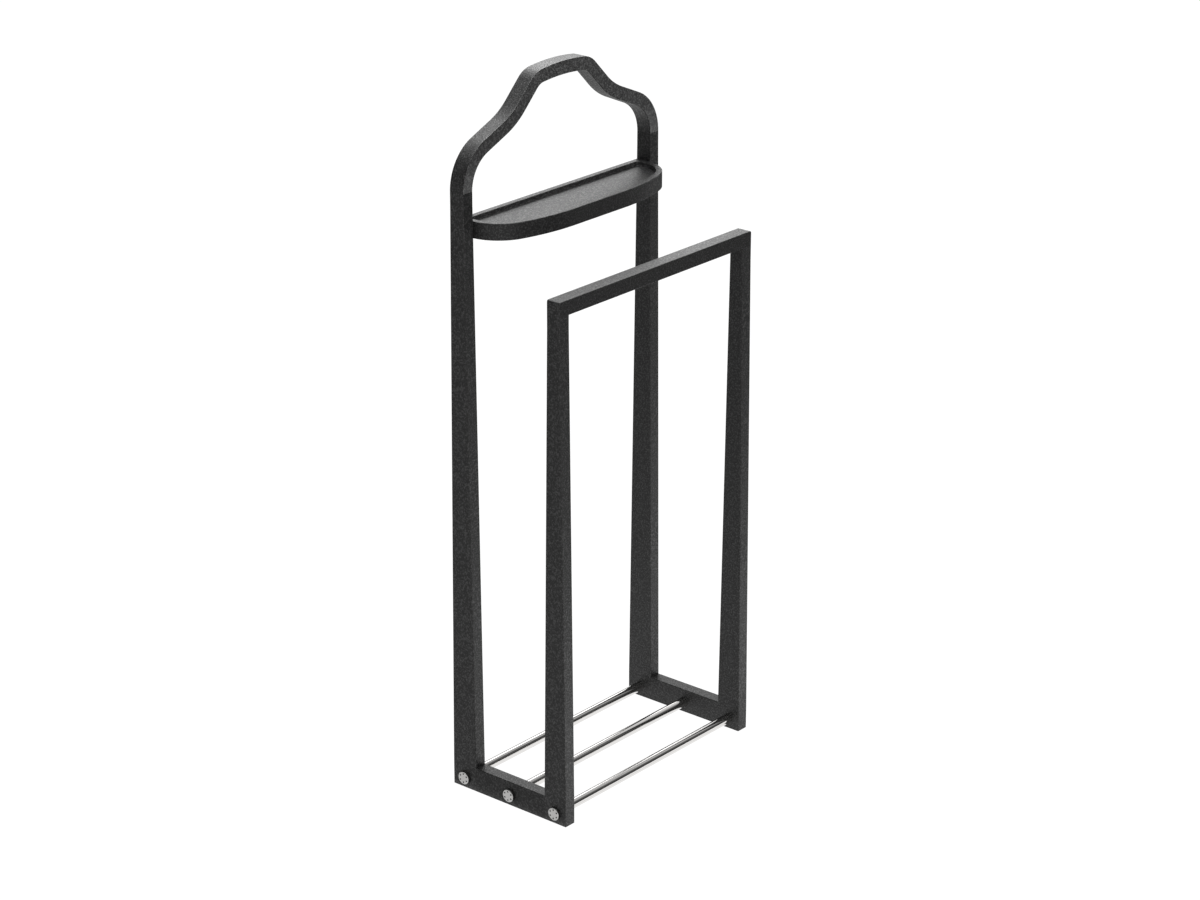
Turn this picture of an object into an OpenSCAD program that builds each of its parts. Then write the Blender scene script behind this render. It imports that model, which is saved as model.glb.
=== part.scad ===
// A clothes valet of black lacquered wood with three chrome shoe rods.
// Tall rear legs carry a hanger-shaped arch and a tray. Shorter front legs carry a
// trouser bar. A low rail joins front and rear leg on each side.
// Millimetres, +Z up. The trouser bar faces -Y. The origin is on the floor, under the middle.

/* [Overall size] */
// Width over the outer faces of the legs
valet_w = 430; // [390:5:520]
// Depth over the feet, from front to back
valet_d = 220; // [200:5:320]
// Height to the top of the hanger's crown
valet_h = 1072; // [1000:2:1200]
// Height to the top of the trouser bar
trouser_h = 804; // [700:2:830]

/* [Legs and rails] */
// Thickness of the legs and rails from side to side, and of the arch
board = 20; // [18:0.5:24]
// Radius of the eased edges
edge_r = 1; // [0.8:0.1:3]
// Depth of a front leg at the floor
front_foot = 41; // [36:0.5:50]
// Depth of a front leg at its top, and of the trouser bar
front_top = 23.5; // [21:0.5:30]
// Depth of a rear leg at the floor
rear_foot = 45; // [40:0.5:54]
// Depth of a rear leg at its top, and of the hanger arch
rear_top = 25; // [22:0.5:32]
// Height of the side rails, and of the untapered foot of each leg
rail_h = 38.5; // [34:0.5:60]
// Untapered length at the top of each leg
top_land = 20; // [16:1:40]

/* [Trouser bar] */
// Height of the trouser bar
bar_h = 22.5; // [20:0.5:32]
// Radius of the bar's upper end corners, seen from the front
bar_corner_r = 3; // [2:0.25:6]

/* [Hanger arch] */
// Radius of the middle of the crown, on the centre line
crown_r = 365; // [300:5:600]
// Fall of the crown's middle at its ends, in degrees below level
crown_turn = 7; // [4:0.5:9]
// Radius where the crown turns down into the neck
neck_r = 32; // [26:1:45]
// Fall of the neck, in degrees below level
neck_slope = 45; // [38:1:52]
// Length of the straight neck
neck_run = 38; // [25:0.5:50]
// Radius of the hollow between neck and shoulder
hollow_r = 114; // [90:1:140]
// Fall of the shoulder, in degrees below level
shoulder_slope = 23; // [18:1:26]
// Radius of the shoulder's end, which turns down into the leg
shoulder_r = 64; // [50:1:80]

/* [Tray] */
// Distance from the top of the rear legs down to the tray's rim
tray_drop = 43; // [30:1:200]
// Depth of the tray from front to back
tray_d = 93.5; // [88:0.5:120]
// Thickness of the tray's board
tray_t = 25; // [20:0.5:32]
// Width of the rim round the recess
rim_w = 9.5; // [7:0.5:14]
// Depth of the recess
recess_depth = 7; // [4:0.5:10]
// Radius of the tray's sides where they start to turn
tray_side_r = 62; // [50:1:66]
// Turn made on that radius before the flatter front curve takes over, in degrees
tray_side_turn = 72.5; // [68:0.5:76]
// Radius of the flatter front curve
tray_front_r = 320; // [250:5:400]
// Radius of the recess's rear corners
recess_corner_r = 4; // [3:0.5:8]

/* [Shoe rods] */
// Outer diameter of the rods
rod_d = 15; // [13:0.5:18]
// Wall of the rods' tube
rod_wall = 1.2; // [1:0.1:2]
// Height of the rods' centre lines
rod_z = 16.5; // [14:0.5:18]
// Depth of the sockets that the rods seat in
socket_depth = 3; // [2:0.5:5]
// Length of the threaded insert in each end of a rod
insert_len = 18; // [16:1:30]

/* [Rod bolts] */
// Diameter of a bolt's head
head_d = 20; // [17:0.5:24]
// Height of the head above the wood
head_h = 4; // [2.5:0.25:5]
// Radius of the head's rounded rim
head_rim_r = 1; // [0.5:0.25:1.5]
// Diameter of the shank
bolt_d = 6; // [5:0.5:8]
// Length of shank inside the insert
bolt_grip = 12; // [8:1:14]
// Holes in the head for the two-pin driver
driver_holes = 6; // [4:1:8]
// Diameter of a driver hole
driver_d = 2.6; // [2:0.1:3]
// Depth of a driver hole
driver_depth = 1.5; // [0.8:0.1:2]
// Diameter of the circle that the driver holes lie on
driver_circle_d = 13.6; // [11:0.1:14]

/* [Dowels] */
// Diameter of the dowels
dowel_d = 6; // [5:0.5:8]
// Length of the dowels
dowel_len = 30; // [26:1:36]
// Length of a dowel in the thinner of the two pieces that it joins
dowel_short = 12; // [10:0.5:14]
// Distance between the two dowels in a leg's top and beside the tray
dowel_pitch = 12; // [10:0.5:14]
// Distance between the two dowels at the end of a rail
rail_dowel_pitch = 18.5; // [14:0.5:20]
// Chamfer on a dowel's ends
dowel_chamfer = 0.8; // [0.4:0.1:1.2]

/* [Fits] */
// Gap all round a dowel, a rod, an insert or a bolt's thread
fit_gap = 0.15; // [0.1:0.05:0.3]
// Gap all round a bolt where it passes through the wood
bolt_gap = 0.3; // [0.2:0.05:0.6]
// Spare depth past each end of a dowel
end_gap = 0.5; // [0.3:0.1:1]

/* [Hidden] */
$fn = 96;

// Finishes
lacquer = [0.13, 0.13, 0.14];
chrome = [0.82, 0.83, 0.85];
nickel = [0.72, 0.72, 0.73];
zinc = [0.6, 0.61, 0.64];
beech = [0.8, 0.65, 0.45];

// How far a cut runs past the face that it opens
cut = 1;
// Facets of a circle inside a hull
hull_fn = 32;
// Steps of each curve of the arch, from the middle to the foot
crown_steps = 3;
neck_steps = 8;
hollow_steps = 6;
shoulder_steps = 14;
// Steps of the tray's side and front curves
side_steps = 14;
front_steps = 6;
// Steps of the eased edges of the arch and the tray
ease_steps = 4;

// Places of the legs: the distance of their middles from the centre, front and rear
leg_x = (valet_w - board) / 2;
front_y = (front_foot - valet_d) / 2;
rear_y = (valet_d - rear_foot) / 2;
middle_y = (front_y + rear_y) / 2;
inner_w = valet_w - 2 * board;
front_leg_h = trouser_h - bar_h;

// The arch's centre line, from the middle of the crown down to the right leg.
// Points are [x, z]. A heading is the fall below level, so 90 is straight down.
function after_arc(p, r, a, b) =
    p + (b > a ? 1 : -1) * r * [sin(b) - sin(a), cos(b) - cos(a)];
function after_line(p, run, a) = p + run * [cos(a), -sin(a)];
crown_p = [0, valet_h - board / 2];
crown_end = after_arc(crown_p, crown_r, 0, crown_turn);
neck_start = after_arc(crown_end, neck_r, crown_turn, neck_slope);
neck_end = after_line(neck_start, neck_run, neck_slope);
hollow_end = after_arc(neck_end, hollow_r, neck_slope, shoulder_slope);
shoulder_end_x = leg_x - shoulder_r * (1 - sin(shoulder_slope));
shoulder_run = (shoulder_end_x - hollow_end.x) / cos(shoulder_slope);
shoulder_end = after_line(hollow_end, shoulder_run, shoulder_slope);
arch_foot = after_arc(shoulder_end, shoulder_r, shoulder_slope, 90);
rear_leg_h = arch_foot.y;
// Stations along that line, as [x, z, heading]
function arc_stations(p, r, a, b, steps) =
    [for (k = [1:steps]) let (h = a + (b - a) * k / steps) concat(after_arc(p, r, a, h), h)];
half_arch = concat(
    [concat(crown_p, 0)],
    arc_stations(crown_p, crown_r, 0, crown_turn, crown_steps),
    arc_stations(crown_end, neck_r, crown_turn, neck_slope, neck_steps),
    [concat(neck_end, neck_slope)],
    arc_stations(neck_end, hollow_r, neck_slope, shoulder_slope, hollow_steps),
    [concat(shoulder_end, shoulder_slope)],
    arc_stations(shoulder_end, shoulder_r, shoulder_slope, 90, shoulder_steps)
);

// The tray's place: its back is flush with the rear legs' backs
tray_z = rear_leg_h - tray_drop;
tray_middle_z = tray_z - tray_t / 2;
taper_share = (tray_middle_z - rail_h) / (rear_leg_h - top_land - rail_h);
tray_back = rear_y + (rear_foot + (rear_top - rear_foot) * min(1, taper_share)) / 2;
tray_front = tray_back - tray_d;
tray_dowel_z = tray_z - (tray_t + recess_depth) / 2;
// Centres of the tray's right side curve and right front curve, seen from above
side_rise = tray_front_r - (tray_front_r - tray_side_r) * sin(tray_side_turn);
side_centre = [inner_w / 2 - tray_side_r, tray_front + side_rise];
front_centre = side_centre
    - (tray_front_r - tray_side_r) * [cos(tray_side_turn), -sin(tray_side_turn)];

// Rods and their fastenings
rod_len = inner_w + 2 * socket_depth;
insert_d = rod_d - 2 * rod_wall - 2 * fit_gap;
bolt_len = board - socket_depth + bolt_grip;
rod_ys = [front_y, middle_y, rear_y];
dowel_long = dowel_len - dowel_short;

// A rectangle with rounded corners, centred
module eased_rect(w, d, r) {
    square([w - 2 * r, d], center = true);
    square([w, d - 2 * r], center = true);
    for (x = [-1, 1], y = [-1, 1])
        translate([x * (w / 2 - r), y * (d / 2 - r)]) circle(r);
}

// What is built for the left side, kept there or mirrored to the right
module on_side(side) {
    mirror([side == "right" ? 1 : 0, 0, 0]) children();
}

// Where the dowels sit on the left side. Their short ends point along the local +Z.
module leg_top_places(y, z) {
    for (k = [-1, 1])
        translate([-leg_x, y + k * dowel_pitch / 2, z]) children();
}
module rail_end_places(y, turn) {
    for (k = [-1, 1])
        translate([-leg_x, y, rail_h / 2 + k * rail_dowel_pitch / 2]) rotate([turn, 0, 0]) children();
}
module front_rail_end_places() {
    rail_end_places(front_y + front_foot / 2, 90) children();
}
module rear_rail_end_places() {
    rail_end_places(rear_y - rear_foot / 2, -90) children();
}
module tray_side_places() {
    for (k = [-1, 1])
        translate([-inner_w / 2, rear_y + k * dowel_pitch / 2, tray_dowel_z]) rotate([0, -90, 0]) children();
}

// A dowel, and the bore for it on both sides of the joint at z = 0
module dowel() {
    r = dowel_d / 2;
    rotate_extrude() polygon([
        [0, -dowel_long], [r - dowel_chamfer, -dowel_long], [r, dowel_chamfer - dowel_long],
        [r, dowel_short - dowel_chamfer], [r - dowel_chamfer, dowel_short], [0, dowel_short]
    ]);
}
module dowel_bore() {
    translate([0, 0, -dowel_long - end_gap])
        cylinder(d = dowel_d + 2 * fit_gap, h = dowel_len + 2 * end_gap);
}

// The bolt's hole and the rod's socket through the left board, at one rod
module rod_bore(y) {
    translate([-leg_x, y, rod_z]) rotate([0, 90, 0]) {
        cylinder(d = bolt_d + 2 * bolt_gap, h = board + 2 * cut, center = true);
        translate([0, 0, board / 2 - socket_depth])
            cylinder(d = rod_d + 2 * fit_gap, h = socket_depth + cut);
    }
}

// A rail's cross-section, seen along Y: flat below, eased above
module rail_profile() {
    translate([-board / 2, 0]) square([board, rail_h - edge_r]);
    translate([edge_r - board / 2, 0]) square([board - 2 * edge_r, rail_h]);
    for (x = [-1, 1])
        translate([x * (board / 2 - edge_r), rail_h - edge_r]) circle(edge_r);
}
// The rail's cross-section swept on the left side between two places in Y
module rail_stretch(y0, y1) {
    translate([-leg_x, y1, 0]) rotate([90, 0, 0]) linear_extrude(y1 - y0) rail_profile();
}

// A leg that tapers in depth, from an untapered foot to an untapered top
module tapered_leg(y, foot, top, h) {
    translate([-leg_x, y, 0]) hull() {
        linear_extrude(rail_h) eased_rect(board, foot, edge_r, $fn = hull_fn);
        translate([0, 0, h - top_land])
            linear_extrude(top_land) eased_rect(board, top, edge_r, $fn = hull_fn);
    }
}

module front_leg(side) {
    color(lacquer) on_side(side) difference() {
        union() {
            tapered_leg(front_y, front_foot, front_top, front_leg_h);
            rail_stretch(front_y, front_y + front_foot / 2);
        }
        rod_bore(front_y);
        front_rail_end_places() dowel_bore();
        leg_top_places(front_y, front_leg_h) dowel_bore();
    }
}

module rear_leg(side) {
    color(lacquer) on_side(side) difference() {
        union() {
            tapered_leg(rear_y, rear_foot, rear_top, rear_leg_h);
            rail_stretch(rear_y - rear_foot / 2, rear_y);
        }
        rod_bore(rear_y);
        rear_rail_end_places() dowel_bore();
        leg_top_places(rear_y, rear_leg_h) dowel_bore();
        tray_side_places() dowel_bore();
    }
}

module side_rail(side) {
    color(lacquer) on_side(side) difference() {
        rail_stretch(front_y + front_foot / 2, rear_y - rear_foot / 2);
        rod_bore(middle_y);
        front_rail_end_places() dowel_bore();
        rear_rail_end_places() dowel_bore();
    }
}

// The bar's outline from the front, with rounded upper corners
module bar_front_profile() {
    r = bar_corner_r;
    translate([-valet_w / 2, 0]) square([valet_w, bar_h - r]);
    translate([r - valet_w / 2, 0]) square([valet_w - 2 * r, bar_h]);
    for (x = [-1, 1])
        translate([x * (valet_w / 2 - r), bar_h - r]) circle(r);
}

// The trouser bar lies on the front legs, and its ends follow the legs' outline
module trouser_bar() {
    color(lacquer) difference() {
        translate([0, front_y, front_leg_h]) {
            intersection() {
                translate([-valet_w / 2, 0, bar_h / 2]) rotate([90, 0, 90])
                    linear_extrude(valet_w) eased_rect(front_top, bar_h, edge_r);
                linear_extrude(bar_h) eased_rect(valet_w, front_top, edge_r);
                translate([0, front_top / 2, 0]) rotate([90, 0, 0])
                    linear_extrude(front_top) bar_front_profile();
            }
            for (x = [-leg_x, leg_x])
                translate([x, 0, 0]) linear_extrude(bar_h / 2) eased_rect(board, front_top, edge_r);
        }
        for (side = ["left", "right"])
            on_side(side) leg_top_places(front_y, front_leg_h) dowel_bore();
    }
}

// Points of a rounded rectangle, anticlockwise and centred
function eased_points(w, d, r) = [
    for (c = [[1, 1, 0], [-1, 1, 90], [-1, -1, 180], [1, -1, 270]], k = [0:ease_steps])
        let (a = c.z + 90 * k / ease_steps)
        [c.x * (w / 2 - r) + r * cos(a), c.y * (d / 2 - r) + r * sin(a)]
];

// A cross-section swept along stations. It stands square to the line at each one.
module sweep(section, stations) {
    n = len(section);
    last = len(stations) - 1;
    polyhedron(
        points = [
            for (s = stations, p = section)
                [s.x + p.x * sin(s.z), p.y, s.y + p.x * cos(s.z)]
        ],
        faces = concat(
            [[for (j = [n - 1:-1:0]) j], [for (j = [0:n - 1]) last * n + j]],
            [for (i = [0:last - 1], j = [0:n - 1])
                let (k = (j + 1) % n)
                [i * n + j, i * n + k, (i + 1) * n + k, (i + 1) * n + j]]
        )
    );
}

module hanger_arch() {
    other_half = [for (k = [len(half_arch) - 1:-1:1]) [-half_arch[k].x, half_arch[k].y, -half_arch[k].z]];
    color(lacquer) difference() {
        translate([0, rear_y, 0])
            sweep(eased_points(board, rear_top, edge_r), concat(other_half, half_arch));
        for (side = ["left", "right"])
            on_side(side) leg_top_places(rear_y, rear_leg_h) dowel_bore();
    }
}

// Points along an arc, from one angle to another
function arc_points(centre, r, a, b, steps, first = 0) =
    [for (k = [first:steps]) centre + r * [cos(a + (b - a) * k / steps), sin(a + (b - a) * k / steps)]];

// The tray's D-shaped outline from above, or the same outline set in from its edge
module tray_outline(inset, corner_r) {
    w = inner_w / 2 - inset;
    back = tray_back - inset;
    right = concat(
        arc_points([w - corner_r, back - corner_r], corner_r, 90, 0, 4),
        arc_points(side_centre, tray_side_r - inset, 0, -tray_side_turn, side_steps),
        arc_points(front_centre, tray_front_r - inset, -tray_side_turn, -90, front_steps, first = 1)
    );
    left = [for (k = [len(right) - 1:-1:0]) [-right[k].x, right[k].y]];
    polygon(concat(right, left));
}

// A board with the tray's outline and eased edges, with a routed recess
module tray() {
    color(lacquer) difference() {
        hull() for (k = [0:ease_steps]) {
            a = 90 * k / ease_steps;
            short = edge_r * (1 - sin(a));
            translate([0, 0, tray_z - tray_t + short])
                linear_extrude(tray_t - 2 * short) tray_outline(edge_r * (1 - cos(a)), edge_r);
        }
        translate([0, 0, tray_z - recess_depth])
            linear_extrude(recess_depth + cut) tray_outline(rim_w, recess_corner_r);
        for (side = ["left", "right"])
            on_side(side) tray_side_places() dowel_bore();
    }
}

// A chrome tube, bolted between the two sides
module shoe_rod(y) {
    color(chrome) translate([-rod_len / 2, y, rod_z]) rotate([0, 90, 0]) difference() {
        cylinder(d = rod_d, h = rod_len);
        translate([0, 0, -cut]) cylinder(d = rod_d - 2 * rod_wall, h = rod_len + 2 * cut);
    }
}

module rod_insert() {
    difference() {
        cylinder(d = insert_d, h = insert_len);
        translate([0, 0, -cut]) cylinder(d = bolt_d + 2 * fit_gap, h = insert_len + 2 * cut);
    }
}

module rod_end_inserts() {
    color(zinc) for (side = ["left", "right"], y = rod_ys)
        on_side(side) translate([-rod_len / 2, y, rod_z]) rotate([0, 90, 0]) rod_insert();
}

// A bolt whose head lies below z = 0 and whose shank runs up from it
module rod_bolt() {
    r = head_d / 2;
    rim = head_rim_r;
    difference() {
        rotate_extrude() {
            translate([0, -head_h]) square([r - rim, head_h]);
            translate([0, rim - head_h]) square([r, head_h - rim]);
            translate([r - rim, rim - head_h]) circle(rim);
        }
        for (k = [0:driver_holes - 1])
            rotate([0, 0, 360 * k / driver_holes]) translate([driver_circle_d / 2, 0, -head_h - cut])
                cylinder(d = driver_d, h = driver_depth + cut, $fn = hull_fn);
    }
    cylinder(d = bolt_d, h = bolt_len);
}

module rod_bolts(side) {
    color(nickel) on_side(side) for (y = rod_ys)
        translate([-valet_w / 2, y, rod_z]) rotate([0, 90, 0]) rod_bolt();
}

module trouser_bar_dowels() {
    color(beech) for (side = ["left", "right"])
        on_side(side) leg_top_places(front_y, front_leg_h) dowel();
}

module hanger_arch_dowels() {
    color(beech) for (side = ["left", "right"])
        on_side(side) leg_top_places(rear_y, rear_leg_h) dowel();
}

module tray_dowels() {
    color(beech) for (side = ["left", "right"])
        on_side(side) tray_side_places() dowel();
}

module rail_dowels(side) {
    color(beech) on_side(side) {
        front_rail_end_places() dowel();
        rear_rail_end_places() dowel();
    }
}

front_leg("left");  // left_front_leg
front_leg("right");  // right_front_leg
rear_leg("left");  // left_rear_leg
rear_leg("right");  // right_rear_leg
side_rail("left");  // left_side_rail
side_rail("right");  // right_side_rail
trouser_bar();
hanger_arch();
tray();
shoe_rod(front_y);  // front_shoe_rod
shoe_rod(middle_y);  // middle_shoe_rod
shoe_rod(rear_y);  // rear_shoe_rod
rod_end_inserts();
rod_bolts("left");  // left_rod_bolts
rod_bolts("right");  // right_rod_bolts
trouser_bar_dowels();
hanger_arch_dowels();
tray_dowels();
rail_dowels("left");  // left_rail_dowels
rail_dowels("right");  // right_rail_dowels
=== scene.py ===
import math
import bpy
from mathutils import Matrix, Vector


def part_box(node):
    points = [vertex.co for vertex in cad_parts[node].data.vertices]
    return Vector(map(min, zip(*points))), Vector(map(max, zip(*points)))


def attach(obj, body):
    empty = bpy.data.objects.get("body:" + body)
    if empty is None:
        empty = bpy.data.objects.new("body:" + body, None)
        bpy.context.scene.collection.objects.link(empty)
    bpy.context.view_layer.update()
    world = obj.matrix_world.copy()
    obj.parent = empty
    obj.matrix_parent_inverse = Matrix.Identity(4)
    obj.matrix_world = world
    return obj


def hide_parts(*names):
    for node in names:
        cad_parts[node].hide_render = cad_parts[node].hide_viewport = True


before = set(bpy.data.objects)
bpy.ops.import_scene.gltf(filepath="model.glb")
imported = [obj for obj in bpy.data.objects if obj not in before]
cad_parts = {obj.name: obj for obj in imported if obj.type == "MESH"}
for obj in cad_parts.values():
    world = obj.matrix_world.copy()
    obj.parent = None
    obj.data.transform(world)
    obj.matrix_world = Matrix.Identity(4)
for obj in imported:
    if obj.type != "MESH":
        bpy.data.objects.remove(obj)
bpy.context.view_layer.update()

from types import SimpleNamespace

import bmesh
import bpy
from mathutils import Matrix, Vector

# A clothes valet of black lacquered wood with chrome shoe rods, on a pale studio floor.
# Everything is in metres. The trouser bar faces -Y, and the tray and the arch are at +Y.
mm = 0.001
tiny = 0.00001          # what lies nearer than this is in the same place
mostly = 0.9            # an edge or a face points along an axis when this share of its direction does
partly = 0.5            # and leans away from the axis below this share
sharpDegrees = 50       # edges sharper than this get rounded
smoothDegrees = 35      # edges blunter than this are shaded smooth


def boxOf(node):
    low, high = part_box(node)
    return SimpleNamespace(low=low, high=high, middle=(low + high) / 2, size=high - low)


# Selecting

def deselectAll():
    if bpy.context.mode != "OBJECT":
        bpy.ops.object.mode_set(mode="OBJECT")
    bpy.ops.object.select_all(action="DESELECT")


def makeActive(piece):
    deselectAll()
    piece.select_set(True)
    bpy.context.view_layer.objects.active = piece


def startEditing(piece, mode="EDGE"):
    makeActive(piece)
    bpy.ops.object.mode_set(mode="EDIT")
    bpy.ops.mesh.select_mode(type=mode)
    bpy.ops.mesh.select_all(action="DESELECT")


def stopEditing():
    bpy.ops.object.mode_set(mode="OBJECT")


def pick(piece, kind, wanted):
    bpy.ops.mesh.select_mode(type=kind)
    bpy.ops.mesh.select_all(action="DESELECT")
    shape = bmesh.from_edit_mesh(piece.data)
    shape.normal_update()
    parts = {"VERT": shape.verts, "EDGE": shape.edges, "FACE": shape.faces}[kind]
    for part in [p for p in parts if wanted(p)]:
        part.select_set(True)
    bmesh.update_edit_mesh(piece.data)


def pickPoints(piece, wanted):
    pick(piece, "VERT", lambda v: wanted(v.co))


def pickEdges(piece, wanted):
    # The test gets the edge's two ends and the edge
    pick(piece, "EDGE", lambda e: wanted(e.verts[0].co, e.verts[1].co, e))


def pickFaces(piece, wanted):
    # The test gets the face's middle and its normal
    pick(piece, "FACE", lambda f: wanted(f.calc_center_median(), f.normal))


def runsAlong(a, b, axis):
    return abs(getattr(a - b, axis)) > mostly * (a - b).length


def isLevelAt(a, b, height):
    return abs(a.z - height) < tiny and abs(b.z - height) < tiny


def isSharp(edge):
    return len(edge.link_faces) == 2 and edge.calc_face_angle(0) > math.radians(sharpDegrees)


# Starting and shaping

def nameNew(name):
    # The active object gets its name, and its place goes into its mesh
    piece = bpy.context.object
    piece.name = name
    piece.data.name = name
    bpy.ops.object.transform_apply(location=True, rotation=True, scale=True)
    return piece


def startBox(name, low, high):
    deselectAll()
    bpy.ops.mesh.primitive_cube_add(size=1, location=(low + high) / 2)
    bpy.context.object.scale = high - low
    return nameNew(name)


def startRod(name, start, end, radius, sides):
    # A round bar along X
    deselectAll()
    bpy.ops.mesh.primitive_cylinder_add(
        vertices=sides, radius=radius, depth=(end - start).length,
        location=(start + end) / 2, rotation=(0, math.pi / 2, 0),
    )
    return nameNew(name)


def copyPiece(piece, name, move=(0, 0, 0), mirrored=False):
    # A copy with its own mesh, turned over left to right where it is mirrored, and then moved
    makeActive(piece)
    bpy.ops.object.duplicate()
    bpy.context.object.scale.x = -1 if mirrored else 1
    bpy.context.object.location = move
    return nameNew(name)


def ease(radius, segments):
    # Rounds the selected edges
    bpy.ops.mesh.bevel(
        offset=radius, offset_type="OFFSET", segments=segments, profile=0.5,
        affect="EDGES", clamp_overlap=False,
    )


def pull(x=0, y=0, z=0):
    # Extrudes what is selected, and moves the new end
    bpy.ops.mesh.extrude_region_move(TRANSFORM_OT_translate={"value": (x, y, z)})


def applyModifier(piece, modifier):
    makeActive(piece)
    bpy.ops.object.modifier_apply(modifier=modifier.name)


def cutAway(piece, cutter):
    # Takes the cutter's shape out of the piece
    cut = piece.modifiers.new("cut", "BOOLEAN")
    cut.operation = "DIFFERENCE"
    cut.solver = "EXACT"
    cut.object = cutter
    applyModifier(piece, cut)
    bpy.data.objects.remove(cutter)


def addOtherHalf(piece, closesUp):
    # Completes a piece that was modelled on one side of X = 0
    mirror = piece.modifiers.new("otherHalf", "MIRROR")
    mirror.use_clip = closesUp
    mirror.merge_threshold = tiny
    applyModifier(piece, mirror)


# Finishing

def finishShading(piece):
    startEditing(piece)
    bpy.ops.mesh.select_all(action="SELECT")
    bpy.ops.mesh.remove_doubles(threshold=tiny)
    bpy.ops.mesh.normals_make_consistent(inside=False)
    stopEditing()
    bpy.ops.object.shade_smooth_by_angle(angle=math.radians(smoothDegrees))
    weigh = piece.modifiers.new("flatFaces", "WEIGHTED_NORMAL")
    weigh.keep_sharp = True
    weigh.weight = 100
    applyModifier(piece, weigh)


def placeOnBody(piece, node):
    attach(piece, "root")
    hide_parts(node)


def paintFaces(piece, material, wanted):
    # Gives some faces a material of their own
    piece.data.materials.append(material)
    startEditing(piece, "FACE")
    pickFaces(piece, wanted)
    piece.active_material_index = len(piece.data.materials) - 1
    bpy.ops.object.material_slot_assign()
    stopEditing()


# Materials

noiseRange = (0.3, 0.7)     # most of a noise lies between these


def newMaterial(name):
    material = bpy.data.materials.new(name)
    material.use_nodes = True
    tree = material.node_tree
    shader = tree.nodes["Principled BSDF"]
    return material, tree, shader


def addNode(tree, kind, **values):
    node = tree.nodes.new(kind)
    for key, value in values.items():
        setattr(node, key, value)
    return node


def objectPoint(tree, scale=(1, 1, 1), place=(0, 0, 0)):
    # Object coordinates, stretched and centred
    coordinate = addNode(tree, "ShaderNodeTexCoord")
    mapping = addNode(tree, "ShaderNodeMapping")
    mapping.inputs["Location"].default_value = [-p * s for p, s in zip(place, scale)]
    mapping.inputs["Scale"].default_value = scale
    tree.links.new(coordinate.outputs["Object"], mapping.inputs["Vector"])
    return mapping.outputs["Vector"]


def addNoise(tree, point, scale, detail=2.0, roughness=0.5):
    noise = addNode(tree, "ShaderNodeTexNoise")
    noise.inputs["Scale"].default_value = scale
    noise.inputs["Detail"].default_value = detail
    noise.inputs["Roughness"].default_value = roughness
    tree.links.new(point, noise.inputs["Vector"])
    return noise.outputs["Fac"]


def remap(tree, value, given, wanted):
    # Carries a value from the range given to the range wanted
    node = addNode(tree, "ShaderNodeMapRange")
    for key, number in zip(("From Min", "From Max", "To Min", "To Max"), (*given, *wanted)):
        node.inputs[key].default_value = number
    tree.links.new(value, node.inputs["Value"])
    return node.outputs["Result"]


def addRoughness(tree, shader, value, given, look):
    rough = remap(tree, value, given, (look["smoothest"], look["roughest"]))
    tree.links.new(rough, shader.inputs["Roughness"])


def addBump(tree, shader, height, distance, strength):
    bump = addNode(tree, "ShaderNodeBump")
    bump.inputs["Distance"].default_value = distance
    bump.inputs["Strength"].default_value = strength
    tree.links.new(height, bump.inputs["Height"])
    tree.links.new(bump.outputs["Normal"], shader.inputs["Normal"])


def grey(shade):
    return (shade, shade, shade)


def mixColours(tree, factor, first, second):
    mix = addNode(tree, "ShaderNodeMix", data_type="RGBA")
    mix.inputs["A"].default_value = (*first, 1)
    mix.inputs["B"].default_value = (*second, 1)
    tree.links.new(factor, mix.inputs["Factor"])
    return mix.outputs["Result"]


# One lacquer, as it looks where it is thick, rubbed, on sawn wood and on polished edges, and a darker, less
# glossy copy of it that paints shade onto the rails, the tray and some faces
lacquerLooks = {
    "blackLacquer": {"dark": 0.006, "light": 0.044, "smoothest": 0.35, "roughest": 0.52, "gloss": 1.5},
    # the darker, less glossy copy paints shade
    "paintedShadeLacquer": {"dark": 0.006, "light": 0.036, "smoothest": 0.35, "roughest": 0.52, "gloss": 1.42},
    "rubbedLacquer": {"dark": 0.006, "light": 0.044, "smoothest": 0.35, "roughest": 0.52, "gloss": 1.54},
    "sawnLacquer": {"dark": 0.024, "light": 0.090, "smoothest": 0.41, "roughest": 0.52, "gloss": 1.5},
    "edgeLacquer": {"dark": 0.006, "light": 0.044, "smoothest": 0.12, "roughest": 0.20, "gloss": 1.5},
}
speckleLook = {
    "size": 2.3 * mm, "range": (0.48, 0.66), "detail": 1, "roughness": 0.6,
    "depth": 0.50 * mm, "strength": 1,
}


def startLacquer(name, look):
    # Satin lacquer over wood, with fine speckles that differ in shade, gloss and height
    material, tree, shader = newMaterial(name)
    fine = speckleLook
    grain = addNoise(tree, objectPoint(tree), 1 / fine["size"], fine["detail"], fine["roughness"])
    speckle = remap(tree, grain, fine["range"], (0, 1))
    colour = mixColours(tree, speckle, grey(look["dark"]), grey(look["light"]))
    tree.links.new(colour, shader.inputs["Base Color"])
    rough = remap(tree, speckle, (0, 1), (look["roughest"], look["smoothest"]))
    tree.links.new(rough, shader.inputs["Roughness"])
    addBump(tree, shader, grain, fine["depth"], fine["strength"])
    shader.inputs["IOR"].default_value = look["gloss"]
    return material, tree, shader, speckle


def makeLacquer(name):
    return startLacquer(name, lacquerLooks[name])[0]


# The arch's front and back faces are paler towards its feet, palest just over the joint
paleFootLook = {"height": 48 * mm, "dark": 0.070, "light": 0.155}


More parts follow.
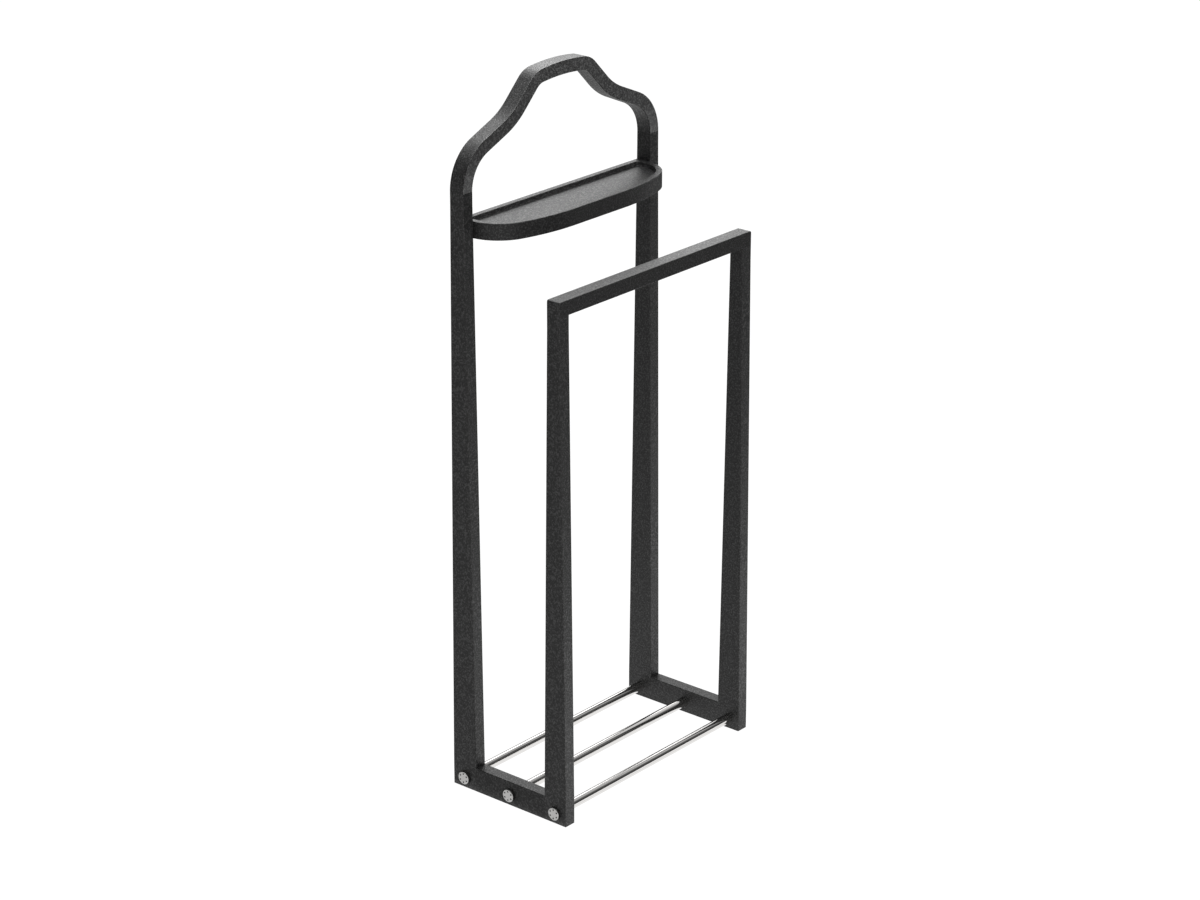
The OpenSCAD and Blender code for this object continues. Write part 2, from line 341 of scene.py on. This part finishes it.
def makePaleFoot(name, footZ):
    look = paleFootLook
    material, tree, shader, speckle = startLacquer(name, lacquerLooks["sawnLacquer"])
    split = addNode(tree, "ShaderNodeSeparateXYZ")
    tree.links.new(objectPoint(tree), split.inputs["Vector"])
    palest = remap(tree, split.outputs["Z"], (footZ, footZ + look["height"]), (1, 0))
    usual = shader.inputs["Base Color"].links[0].from_socket
    pale = mixColours(tree, speckle, grey(look["dark"]), grey(look["light"]))
    mix = addNode(tree, "ShaderNodeMix", data_type="RGBA")
    tree.links.new(palest, mix.inputs["Factor"])
    tree.links.new(usual, mix.inputs["A"])
    tree.links.new(pale, mix.inputs["B"])
    tree.links.new(mix.outputs["Result"], shader.inputs["Base Color"])
    return material


def startMetal(name):
    material, tree, shader = newMaterial(name)
    shader.inputs["Metallic"].default_value = 1
    return material, tree, shader


chromeLook = {
    "colour": (0.735, 0.722, 0.708), "smoothest": 0.04, "roughest": 0.09,
    "drawing": (3, 900, 900), "depth": 0.002 * mm, "strength": 0.5,
}


def makeChrome():
    # Fine drawing marks run along the tube
    look = chromeLook
    material, tree, shader = startMetal("chromePlate")
    shader.inputs["Base Color"].default_value = (*look["colour"], 1)
    drawn = addNoise(tree, objectPoint(tree, scale=look["drawing"]), 1)
    addRoughness(tree, shader, drawn, noiseRange, look)
    addBump(tree, shader, drawn, look["depth"], look["strength"])
    return material


nickelLook = {
    "colour": (0.74, 0.735, 0.725), "smoothest": 0.28, "roughest": 0.42, "speckle": 1800,
    "turning": 4500, "depth": 0.01 * mm, "strength": 0.6,
}


def makeNickel(name, centre):
    # Fine turning marks run round the bolt's own middle
    look = nickelLook
    material, tree, shader = startMetal(name)
    shader.inputs["Base Color"].default_value = (*look["colour"], 1)
    length = addNode(tree, "ShaderNodeVectorMath", operation="LENGTH")
    tree.links.new(objectPoint(tree, scale=(0, 1, 1), place=centre), length.inputs[0])
    combine = addNode(tree, "ShaderNodeCombineXYZ")
    tree.links.new(length.outputs["Value"], combine.inputs["X"])
    turned = addNoise(tree, combine.outputs["Vector"], look["turning"])
    addRoughness(tree, shader, addNoise(tree, objectPoint(tree), look["speckle"]), noiseRange, look)
    addBump(tree, shader, turned, look["depth"], look["strength"])
    return material


# A near-black nickel that paints shade into the bolts' driver holes and onto the sides of their heads
paintedShadeNickelLook = {
    "dark": grey(0.03), "light": grey(0.08), "smoothest": 0.5, "roughest": 0.7,
    "grain": 2500, "detail": 2,
}
zincLook = {
    "dark": (0.50, 0.52, 0.56), "light": (0.66, 0.66, 0.64), "smoothest": 0.25, "roughest": 0.45,
    "grain": 260, "detail": 3,
}


def makeMottledMetal(name, look):
    material, tree, shader = startMetal(name)
    mottle = addNoise(tree, objectPoint(tree), look["grain"], look["detail"])
    tree.links.new(mixColours(tree, mottle, look["dark"], look["light"]), shader.inputs["Base Color"])
    addRoughness(tree, shader, mottle, noiseRange, look)
    return material


beechLook = {
    "dark": (0.52, 0.33, 0.18), "light": (0.74, 0.55, 0.35), "smoothest": 0.55, "roughest": 0.75,
    "alongFibres": 60, "acrossFibres": 900, "detail": 4, "range": (0.2, 0.8),
    "depth": 0.05 * mm, "strength": 0.6,
}


def makeBeech(name, along):
    # Pale wood whose fibres run along one axis
    look = beechLook
    material, tree, shader = newMaterial(name)
    stretch = [look["alongFibres"] if axis == along else look["acrossFibres"] for axis in "xyz"]
    fibre = addNoise(tree, objectPoint(tree, scale=stretch), 1, look["detail"])
    tree.links.new(mixColours(tree, fibre, look["dark"], look["light"]), shader.inputs["Base Color"])
    addRoughness(tree, shader, fibre, look["range"], look)
    addBump(tree, shader, fibre, look["depth"], look["strength"])
    return material


print("materials")
blackLacquer = makeLacquer("blackLacquer")
# a darker, less glossy copy of the lacquer, for painted shade
paintedShadeLacquer = makeLacquer("paintedShadeLacquer")
rubbedLacquer = makeLacquer("rubbedLacquer")
sawnLacquer = makeLacquer("sawnLacquer")
paleFootLacquer = makePaleFoot("paleFootLacquer", boxOf("hanger_arch").low.z)
edgeLacquer = makeLacquer("edgeLacquer")
chromePlate = makeChrome()
paintedShadeNickel = makeMottledMetal("paintedShadeNickel", paintedShadeNickelLook)
zincPlate = makeMottledMetal("zincPlate", zincLook)
beechUpright = makeBeech("beechUpright", "z")
beechAcross = makeBeech("beechAcross", "x")
beechDeep = makeBeech("beechDeep", "y")


# Legs and rails

easedEdge = 1 * mm      # radius of the wood's edges
footEdge = 0.6 * mm     # radius round the soles
jointEdge = 0.3 * mm    # radius on both sides of the joint between the arch and a leg

rods = {
    "front": "front_shoe_rod",
    "middle": "middle_shoe_rod",
    "rear": "rear_shoe_rod",
}
rodHoleLook = {
    "socketGap": 0.15 * mm,
    "boltHole": 3.3 * mm,
    "insideReach": 30 * mm,     # how far the cutters stand out inside the frame
    "outsideReach": 60 * mm,    # and how far beyond the rod's end
    "sides": 64,
}


def drillForRod(piece, boardX, rod):
    # The rod's socket in the inner face of a left board, and the bolt's hole right through
    look = rodHoleLook
    box = boxOf(rod)
    inside = Vector((boardX + look["insideReach"], box.middle.y, box.middle.z))
    seat = Vector((box.low.x, box.middle.y, box.middle.z))
    outside = seat - Vector((look["outsideReach"], 0, 0))
    radius = box.size.z / 2 + look["socketGap"]
    cutAway(piece, startRod("socketCutter", inside, seat, radius, look["sides"]))
    cutAway(piece, startRod("boltCutter", inside, outside, look["boltHole"], look["sides"]))


legLook = {"topLand": 20 * mm}      # straight length at the top


def makeLegs(place, topDepth, reach):
    # The left leg is modelled, and the right one is its mirror image. The top is as deep as what it
    # carries, and reaches into a piece whose lower edges are rounded, so that no gap shows.
    name = place.capitalize() + "Leg"
    box = boxOf("left_" + place + "_leg")
    railTop = boxOf("left_side_rail").high.z
    landZ = box.high.z - legLook["topLand"]
    left = startBox("left" + name, box.low, box.high + Vector((0, 0, reach)))
    startEditing(left)
    for height in (railTop, landZ):
        bpy.ops.mesh.select_all(action="SELECT")
        bpy.ops.mesh.bisect(plane_co=(0, 0, height), plane_no=(0, 0, 1))
    pickPoints(left, lambda p: p.z > landZ - tiny)
    bpy.ops.transform.resize(value=(1, topDepth / box.size.y, 1), center_override=box.middle)
    pickEdges(left, lambda a, b, e: runsAlong(a, b, "z"))
    ease(easedEdge, segments=5)
    pickEdges(left, lambda a, b, e: isLevelAt(a, b, 0))
    ease(footEdge, segments=2)
    pickEdges(left, lambda a, b, e: isLevelAt(a, b, box.high.z + reach))
    ease(jointEdge, segments=2)
    stopEditing()
    drillForRod(left, box.middle.x, rods[place])
    right = copyPiece(left, "right" + name, mirrored=True)
    for side, leg, inward in (("left", left, 1), ("right", right, -1)):
        finishShading(leg)
        leg.data.materials.append(blackLacquer)
        # Faces that look into the frame get the darker, less glossy copy of the lacquer: painted shade
        paintFaces(leg, paintedShadeLacquer, lambda c, n: n.x * inward > mostly)
        placeOnBody(leg, side + "_" + place + "_leg")


def makeRails():
    # The ends reach into the legs' rounded corners, so the faces run on flush
    box = boxOf("left_side_rail")
    reach = Vector((0, easedEdge, 0))
    left = startBox("leftSideRail", box.low - reach, box.high + reach)
    startEditing(left)
    pickEdges(left, lambda a, b, e: runsAlong(a, b, "y") and a.z > box.middle.z)
    ease(easedEdge, segments=6)
    pickEdges(left, lambda a, b, e: runsAlong(a, b, "y") and isLevelAt(a, b, 0))
    ease(footEdge, segments=2)
    stopEditing()
    drillForRod(left, box.middle.x, rods["middle"])
    right = copyPiece(left, "rightSideRail", mirrored=True)
    for side, rail in (("left", left), ("right", right)):
        finishShading(rail)
        # The rails get the darker, less glossy lacquer all over: painted shade
        rail.data.materials.append(paintedShadeLacquer)
        placeOnBody(rail, side + "_side_rail")


# Trouser bar

barLook = {"endCorner": 3 * mm}


def makeTrouserBar():
    box = boxOf("trouser_bar")
    bar = startBox("trouserBar", box.low, box.high)
    startEditing(bar)
    pickEdges(bar, lambda a, b, e: runsAlong(a, b, "y") and a.z > box.middle.z)
    ease(barLook["endCorner"], segments=6)
    pickEdges(bar, lambda a, b, e: isSharp(e))
    ease(easedEdge, segments=6)
    stopEditing()
    finishShading(bar)
    bar.data.materials.append(blackLacquer)
    # Its front and back faces get the darker, less glossy lacquer: painted shade
    paintFaces(bar, paintedShadeLacquer, lambda c, n: abs(n.y) > mostly)
    # Trousers rub its top to a better gloss
    paintFaces(bar, rubbedLacquer, lambda c, n: n.z > mostly)
    placeOnBody(bar, "trouser_bar")


# Hanger arch

# Its centre line runs from the middle of the crown down to a leg. Each turn has a radius and the
# slope that it ends at, in degrees below level, and each run has a length.
archLook = {
    "crownRadius": 365 * mm,
    "crownSlope": 7,
    "neckRadius": 32 * mm,
    "neckSlope": 45,
    "neckRun": 38 * mm,
    "hollowRadius": 114 * mm,
    "shoulderSlope": 23,
    "shoulderRadius": 64 * mm,
    "footSlope": 90,
    "stepDegrees": 1.6,
    "fewestSteps": 3,
    "flatFace": 0.99,       # a front or back face looks along Y by more than this share,
    "flatTop": 0.02,        # a top or bottom face by less than this, and a rounded edge lies between
}


def squareOut(slope):
    # Square to the centre line, towards the arch's outer side
    turn = math.radians(slope)
    return Vector((math.sin(turn), 0, math.cos(turn)))


def spinArch(point, radius, slope, newSlope):
    # Carries the selected end round one bend of the arch, and returns where it gets to
    look = archLook
    bend = 1 if newSlope > slope else -1
    centre = point - bend * radius * squareOut(slope)
    bpy.ops.mesh.spin(
        steps=max(look["fewestSteps"], round(abs(newSlope - slope) / look["stepDegrees"])),
        angle=math.radians(slope - newSlope), center=centre, axis=(0, 1, 0), use_auto_merge=False,
    )
    return centre + bend * radius * squareOut(newSlope)


def runArch(point, length, slope):
    # Carries the selected end straight on
    turn = math.radians(slope)
    along = Vector((math.cos(turn), 0, -math.sin(turn))) * length
    pull(*along)
    return point + along


def makeHangerArch():
    look = archLook
    box = boxOf("hanger_arch")
    band = boxOf("left_rear_leg").size.x
    point = Vector((0, box.middle.y, box.high.z - band / 2))
    deselectAll()
    bpy.ops.mesh.primitive_plane_add(size=1, location=point, rotation=(0, math.pi / 2, 0))
    bpy.context.object.scale = (band, box.size.y, 1)
    arch = nameNew("hangerArch")
    startEditing(arch, "VERT")
    bpy.ops.mesh.select_all(action="SELECT")
    bpy.ops.mesh.bevel(offset=easedEdge, segments=6, profile=0.5, affect="VERTICES")
    bpy.ops.mesh.select_mode(type="FACE")
    bpy.ops.mesh.select_all(action="SELECT")
    point = spinArch(point, look["crownRadius"], 0, look["crownSlope"])
    point = spinArch(point, look["neckRadius"], look["crownSlope"], look["neckSlope"])
    point = runArch(point, look["neckRun"], look["neckSlope"])
    point = spinArch(point, look["hollowRadius"], look["neckSlope"], look["shoulderSlope"])
    slope = math.radians(look["shoulderSlope"])
    shoulderX = box.high.x - band / 2 - look["shoulderRadius"] * (1 - math.sin(slope))
    point = runArch(point, (shoulderX - point.x) / math.cos(slope), look["shoulderSlope"])
    spinArch(point, look["shoulderRadius"], look["shoulderSlope"], look["footSlope"])
    pickFaces(arch, lambda c, n: abs(c.x) < tiny and abs(n.x) > mostly)
    bpy.ops.mesh.delete(type="ONLY_FACE")
    stopEditing()
    addOtherHalf(arch, closesUp=True)
    startEditing(arch)
    pickEdges(arch, lambda a, b, e: max(a.z, b.z) < box.low.z + tiny and isSharp(e))
    ease(jointEdge, segments=2)
    stopEditing()
    finishShading(arch)
    arch.data.materials.append(blackLacquer)
    # The sawn front and back faces take the lacquer a little greyer than its top does, and are paler towards
    # the feet
    paintFaces(arch, paleFootLacquer, lambda c, n: abs(n.y) > look["flatFace"])
    # Hands and hangers polish its rounded edges
    paintFaces(arch, edgeLacquer, lambda c, n: look["flatTop"] < abs(n.y) < look["flatFace"])
    placeOnBody(arch, "hanger_arch")


# Tray

trayLook = {
    "sideRadius": 62 * mm,
    "sideTurn": 72.5,       # degrees
    "frontRadius": 320 * mm,
    "rim": 9.5 * mm,
    "recess": 7 * mm,
    "recessCorner": 4 * mm,
    "rimInnerEdge": 0.8 * mm,
    "floorFillet": 1.2 * mm,
    "sideSteps": 32,
    "frontSteps": 12,
}


def turnOutline(steps, angle, centre):
    # Carries the end of the tray's outline round a bend
    bpy.ops.mesh.spin(steps=steps, angle=angle, center=centre, axis=(0, 0, 1), use_auto_merge=False)


def makeTray():
    look = trayLook
    box = boxOf("tray")
    low, high = box.low, box.high
    turn = math.radians(look["sideTurn"])
    spread = look["frontRadius"] - look["sideRadius"]
    sideCentre = Vector((
        high.x - look["sideRadius"],
        low.y + look["frontRadius"] - spread * math.sin(turn),
        high.z,
    ))
    frontCentre = sideCentre + spread * Vector((-math.cos(turn), math.sin(turn), 0))
    deselectAll()
    bpy.ops.mesh.primitive_plane_add(size=1 * mm, location=(0, high.y, high.z))
    tray = nameNew("trayBoard")
    startEditing(tray, "VERT")
    bpy.ops.mesh.select_all(action="SELECT")
    bpy.ops.mesh.merge(type="CENTER")
    pull(x=high.x)
    pull(y=sideCentre.y - high.y)
    turnOutline(look["sideSteps"], turn, sideCentre)
    turnOutline(look["frontSteps"], math.pi / 2 - turn, frontCentre)
    pull(x=-frontCentre.x)
    stopEditing()
    addOtherHalf(tray, closesUp=False)
    startEditing(tray)
    bpy.ops.mesh.select_all(action="SELECT")
    bpy.ops.mesh.remove_doubles(threshold=tiny)
    bpy.ops.mesh.edge_face_add()
    bpy.ops.mesh.select_mode(type="FACE")
    bpy.ops.mesh.select_all(action="SELECT")
    pull(z=-box.size.z)
    bpy.ops.mesh.select_all(action="SELECT")
    bpy.ops.mesh.normals_make_consistent(inside=False)
    pickFaces(tray, lambda c, n: n.z > mostly)
    bpy.ops.mesh.inset(thickness=look["rim"], depth=0, use_even_offset=True)
    pull(z=-look["recess"])
    floorZ = high.z - look["recess"]

    def isBackCorner(a, b, inset):
        isThere = abs(abs(a.x) - (high.x - inset)) < tiny and abs(a.y - (high.y - inset)) < tiny
        return isThere and runsAlong(a, b, "z")

    def lowestBeside(edge):
        return min(v.co.z for face in edge.link_faces for v in face.verts)

    def isOuter(edge):
        return lowestBeside(edge) < low.z + tiny

    pickEdges(tray, lambda a, b, e: isBackCorner(a, b, 0))
    ease(easedEdge, segments=5)
    pickEdges(tray, lambda a, b, e: isBackCorner(a, b, look["rim"]))
    ease(look["recessCorner"], segments=8)
    pickEdges(tray, lambda a, b, e: isSharp(e) and isLevelAt(a, b, floorZ))
    ease(look["floorFillet"], segments=4)
    pickEdges(tray, lambda a, b, e: isSharp(e) and isLevelAt(a, b, high.z) and not isOuter(e))
    ease(look["rimInnerEdge"], segments=3)
    pickEdges(tray, lambda a, b, e: isSharp(e) and isOuter(e))
    ease(easedEdge, segments=6)
    stopEditing()
    finishShading(tray)
    # The tray gets the darker, less glossy lacquer all over: painted shade
    tray.data.materials.append(paintedShadeLacquer)

    def isRecessWall(centre, normal):
        inset = look["rim"] / 2
        isInside = abs(centre.x) < high.x - inset and low.y + inset < centre.y < high.y - inset
        return isInside and floorZ < centre.z < high.z and abs(normal.z) < partly

    paintFaces(tray, sawnLacquer, isRecessWall)
    placeOnBody(tray, "tray")


# Rods and bolts

rodLook = {"wall": 1.2 * mm, "sides": 96}


def shapeShoeRod():
    # A tube from one side of the frame to the other, at Y = 0 and Z = 0
    look = rodLook
    box = boxOf(rods["front"])
    start, end = Vector((box.low.x, 0, 0)), Vector((box.high.x, 0, 0))
    tube = startRod("shoeRod", start, end, box.size.z / 2, look["sides"])
    startEditing(tube, "FACE")
    pickFaces(tube, lambda c, n: abs(n.x) > mostly)
    bpy.ops.mesh.inset(thickness=look["wall"], depth=0)
    bpy.ops.mesh.bridge_edge_loops()
    stopEditing()
    tube.data.materials.append(chromePlate)
    return tube


boltLook = {
    "headHeight": 4.0 * mm,
    "headRadius": 10 * mm,
    "rimEdge": 1.0 * mm,
    "shank": 3 * mm,
    "shankLength": 29 * mm,
    "sides": 96,
    "holes": 6,
    "firstHole": 90,        # degrees up from level
    "holeCircle": 6.8 * mm,
    "holeRadius": 1.3 * mm,
    "holeDepth": 1.5 * mm,
    "holeBottomEdge": 0.65 * mm,
    "holeSides": 24,
}


def shapeBolt():
    # A left bolt: its head stands on X = 0 and looks towards -X
    look = boltLook
    face = Vector((-look["headHeight"], 0, 0))
    bolt = startRod("rodBolt", face, Vector((0, 0, 0)), look["headRadius"], look["sides"])
    startEditing(bolt)
    pickEdges(bolt, lambda a, b, e: isSharp(e) and max(a.x, b.x) < face.x + tiny)
    ease(look["rimEdge"], segments=5)
    pickFaces(bolt, lambda c, n: abs(c.x) < tiny)
    bpy.ops.mesh.inset(thickness=look["headRadius"] - look["shank"], depth=0)
    pull(x=look["shankLength"])
    stopEditing()
    depth = Vector((look["holeDepth"], 0, 0))
    holeCentres = []
    for step in range(look["holes"]):
        angle = math.radians(look["firstHole"] + 360 * step / look["holes"])
        centre = face + look["holeCircle"] * Vector((0, math.cos(angle), math.sin(angle)))
        holeCentres.append(centre)
        cutter = startRod("holeCutter", centre - depth, centre + depth, look["holeRadius"], look["holeSides"])
        bottomX = centre.x + look["holeDepth"]
        startEditing(cutter)
        pickEdges(cutter, lambda a, b, e: min(a.x, b.x) > bottomX - tiny)
        ease(look["holeBottomEdge"], segments=4)
        stopEditing()
        cutAway(bolt, cutter)

    def isInHole(point):
        isDeep = point.x - face.x > 2 * tiny
        return isDeep and any((point - c).yz.length < look["holeRadius"] for c in holeCentres)

    def isOnHeadSide(point, normal):
        isRound = point.yz.length > look["headRadius"] - look["rimEdge"] / 2
        return isRound and abs(normal.x) < partly

    bolt.data.materials.append(None)    # each copy gets its own nickel here
    # The driver holes and the sides of the head get a near-black nickel: painted shade
    paintFaces(bolt, paintedShadeNickel, lambda c, n: isInHole(c) or isOnHeadSide(c, n))
    return bolt


print("wooden frame")
makeLegs("front", boxOf("trouser_bar").size.y, easedEdge)
makeLegs("rear", boxOf("hanger_arch").size.y, 0)
makeRails()
makeTrouserBar()
makeHangerArch()

print("tray")
makeTray()

print("rods and bolts")
shoeRod = shapeShoeRod()
rodBolt = shapeBolt()
for place, node in rods.items():
    middle = boxOf(node).middle
    rod = copyPiece(shoeRod, place + "ShoeRod", (0, middle.y, middle.z))
    finishShading(rod)
    placeOnBody(rod, node)
    nickel = makeNickel(place + "BoltNickel", middle)
    for side in ("left", "right"):
        rail = boxOf(side + "_side_rail")
        outerX = rail.low.x if side == "left" else rail.high.x
        name = side + place.capitalize() + "RodBolt"
        bolt = copyPiece(rodBolt, name, (outerX, middle.y, middle.z), mirrored=side == "right")
        finishShading(bolt)
        bolt.data.materials[0] = nickel
        placeOnBody(bolt, side + "_rod_bolts")
bpy.data.objects.remove(shoeRod)
bpy.data.objects.remove(rodBolt)

print("hidden fastenings")
hidden = {
    "rod_end_inserts": zincPlate,
    "trouser_bar_dowels": beechUpright,
    "hanger_arch_dowels": beechUpright,
    "tray_dowels": beechAcross,
    "left_rail_dowels": beechDeep,
    "right_rail_dowels": beechDeep,
}
for name, material in hidden.items():
    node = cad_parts[name]
    node.data.materials.clear()
    node.data.materials.append(material)


# Studio

cameraLook = {
    "azimuth": -49.981,
    "elevation": 21.434,
    "roll": 0.107,
    "distance": 4.6868,
    "aim": (-7.9 * mm, 0, 500.8 * mm),
    "lens": 95.93,
    "sensor": 36,
    "farthest": 100,
}


def pointTowards(azimuth, elevation):
    # A direction, with its azimuth from +X in radians
    flat = math.cos(elevation)
    return Vector((math.cos(azimuth) * flat, math.sin(azimuth) * flat, math.sin(elevation)))


def makeCamera():
    look = cameraLook
    azimuth, elevation, roll = (math.radians(look[k]) for k in ("azimuth", "elevation", "roll"))
    back = pointTowards(azimuth - math.pi / 2, elevation)
    across = Vector((0, 0, 1)).cross(back).normalized()
    up = back.cross(across)
    turnedAcross = across * math.cos(roll) + up * math.sin(roll)
    turnedUp = up * math.cos(roll) - across * math.sin(roll)
    data = bpy.data.cameras.new("photoCamera")
    data.lens = look["lens"]
    data.sensor_width = look["sensor"]
    data.clip_end = look["farthest"]
    camera = bpy.data.objects.new("photoCamera", data)
    bpy.context.collection.objects.link(camera)
    turned = Matrix((turnedAcross, turnedUp, back)).transposed().to_4x4()
    camera.matrix_world = Matrix.Translation(Vector(look["aim"]) + back * look["distance"]) @ turned
    bpy.context.scene.camera = camera


# A light table: the floor glows, so nothing casts a shadow on it
floorLook = {"width": 60, "dark": 0.0315, "light": 0.0385, "blotch": 3, "glow": 1.02}


def makeFloor():
    look = floorLook
    material, tree, shader = newMaterial("paleFloor")
    blotch = addNoise(tree, objectPoint(tree), look["blotch"])
    colour = mixColours(tree, blotch, grey(look["dark"]), grey(look["light"]))
    tree.links.new(colour, shader.inputs["Base Color"])
    shader.inputs["Roughness"].default_value = 1
    shader.inputs["Specular IOR Level"].default_value = 0
    shader.inputs["Emission Color"].default_value = (1, 1, 1, 1)
    shader.inputs["Emission Strength"].default_value = look["glow"]
    deselectAll()
    bpy.ops.mesh.primitive_plane_add(size=look["width"], location=(0, 0, 0))
    floor = nameNew("studioFloor")
    floor.data.materials.append(material)


def addRamp(tree, value, steps):
    # A brightness that goes through steps between 0 and 1, each a place and a brightness
    top = max(bright for place, bright in steps)
    node = addNode(tree, "ShaderNodeValToRGB")
    ramp = node.color_ramp
    while len(ramp.elements) > 1:
        ramp.elements.remove(ramp.elements[-1])
    for index, (place, bright) in enumerate(steps):
        element = ramp.elements[0] if index == 0 else ramp.elements.new(place)
        element.position = place
        element.color = (*grey(bright / top), 1)
    tree.links.new(value, node.inputs["Fac"])
    return remap(tree, node.outputs["Color"], (0, 1), (0, top))


# Cards that only reflections see, on the floor to the left of the object, in front of it and to its
# right. The glow of each changes with the distance from the middle: steps of a distance and a brightness.
cards = {
    "leftCard": {
        "low": (-9, -0.12), "high": (-0.22, 9), "away": (-1, 0, 0),
        "steps": ((0.22, 0.58), (0.6, 0.52), (1.2, 0.58), (1.8, 0.22), (3.0, 0.08), (9.0, 0.08)),
    },
    "frontCard": {
        "low": (-0.22, -9), "high": (9, -0.115), "away": (0, -1, 0),
        "steps": ((0.115, 0.90), (0.3, 1.66), (0.6, 0.58), (1.0, 0.14), (1.5, 0.0), (9.0, 0.0)),
    },
    "rightCard": {
        "low": (0.22, -0.115), "high": (9, 9), "away": (1, 0, 0),
        "steps": ((0.22, 1.0), (0.9, 0.80), (1.6, 0.30), (3.0, 0.05), (9.0, 0.05)),
    },
}
cardLift = 2 * mm


def makeCard(name, look):
    material, tree, shader = newMaterial(name)
    coordinate = addNode(tree, "ShaderNodeTexCoord")
    away = addNode(tree, "ShaderNodeVectorMath", operation="DOT_PRODUCT")
    away.inputs[1].default_value = look["away"]
    tree.links.new(coordinate.outputs["Object"], away.inputs[0])
    near, far = look["steps"][0][0], look["steps"][-1][0]
    share = remap(tree, away.outputs["Value"], (near, far), (0, 1))
    glow = addRamp(tree, share, [((d - near) / (far - near), b) for d, b in look["steps"]])
    tree.links.new(glow, shader.inputs["Emission Strength"])
    shader.inputs["Emission Color"].default_value = (1, 1, 1, 1)
    shader.inputs["Base Color"].default_value = (0, 0, 0, 1)
    shader.inputs["Specular IOR Level"].default_value = 0
    low, high = Vector((*look["low"], cardLift)), Vector((*look["high"], cardLift))
    deselectAll()
    bpy.ops.mesh.primitive_plane_add(size=1, location=(low + high) / 2)
    bpy.context.object.scale = (high.x - low.x, high.y - low.y, 1)
    card = nameNew(name)
    card.data.materials.append(material)
    card.visible_camera = False
    card.visible_diffuse = False
    card.visible_shadow = False
    card.visible_transmission = False


# The room: a dim grey all round, and soft glows. Each glow has a direction in degrees, round from +X
# and up from level, a brightness, and a tightness, which is higher for a smaller glow.
roomLook = {
    "dim": 0.06,
    "backdrop": 1.0,
    "glows": (
        {"round": 20, "up": 20, "bright": 1.65, "tightness": 40},
        {"round": 5, "up": 33, "bright": 0.85, "tightness": 20},
        {"round": 50, "up": 50, "bright": 5.3, "tightness": 40},
        {"round": 44, "up": 3, "bright": 0.9, "tightness": 80},
        {"round": -12, "up": 42, "bright": 0.30, "tightness": 20},
        {"round": 252, "up": 37, "bright": 6.5, "tightness": 60},
    ),
}


def addMath(tree, operation, first, second):
    # The first value is a socket, and the second one a socket or a number
    node = addNode(tree, "ShaderNodeMath", operation=operation)
    tree.links.new(first, node.inputs[0])
    if isinstance(second, (int, float)):
        node.inputs[1].default_value = second
    else:
        tree.links.new(second, node.inputs[1])
    return node.outputs["Value"]


def makeRoom():
    look = roomLook
    world = bpy.data.worlds.new("studio")
    world.use_nodes = True
    tree = world.node_tree
    sky = tree.nodes["Background"]
    coordinate = addNode(tree, "ShaderNodeTexCoord")
    total = look["dim"]
    for glow in look["glows"]:
        towards = addNode(tree, "ShaderNodeVectorMath", operation="DOT_PRODUCT")
        towards.inputs[1].default_value = pointTowards(math.radians(glow["round"]), math.radians(glow["up"]))
        tree.links.new(coordinate.outputs["Generated"], towards.inputs[0])
        facing = addMath(tree, "MAXIMUM", towards.outputs["Value"], 0)
        narrow = addMath(tree, "POWER", facing, glow["tightness"])
        bright = addMath(tree, "MULTIPLY", narrow, glow["bright"])
        total = addMath(tree, "ADD", bright, total)
    # What the camera sees over the floor's edge is as pale as the floor
    path = addNode(tree, "ShaderNodeLightPath")
    seen = addNode(tree, "ShaderNodeMix", data_type="FLOAT")
    tree.links.new(path.outputs["Is Camera Ray"], seen.inputs["Factor"])
    tree.links.new(total, seen.inputs["A"])
    seen.inputs["B"].default_value = look["backdrop"]
    tree.links.new(seen.outputs["Result"], sky.inputs["Strength"])
    sky.inputs["Color"].default_value = (1, 1, 1, 1)
    bpy.context.scene.world = world


softboxes = {
    "overhead": {"place": (0, 0, 2.9), "aim": (0, 0, 0.8), "size": (2.4, 2.4), "power": 76},
    "highBack": {"place": (1.5, 1.25, 2.7), "aim": (0, 0, 0.8), "size": (1.0, 0.8), "power": 27.5},
    "lowBack": {"place": (2.0, 1.7, 1.9), "aim": (0, 0, 0.8), "size": (1.0, 0.8), "power": 5.5},
}


def makeSoftbox(name, look):
    data = bpy.data.lights.new(name, "AREA")
    data.shape = "RECTANGLE"
    data.size, data.size_y = look["size"]
    data.energy = look["power"]
    lamp = bpy.data.objects.new(name, data)
    bpy.context.collection.objects.link(lamp)
    place = Vector(look["place"])
    turn = (place - Vector(look["aim"])).to_track_quat("Z", "Y").to_matrix().to_4x4()
    lamp.matrix_world = Matrix.Translation(place) @ turn
    lamp.visible_camera = False


print("studio")
makeCamera()
makeFloor()
for name, look in cards.items():
    makeCard(name, look)
makeRoom()
for name, look in softboxes.items():
    makeSoftbox(name, look)
bpy.context.scene.view_settings.view_transform = "Standard"
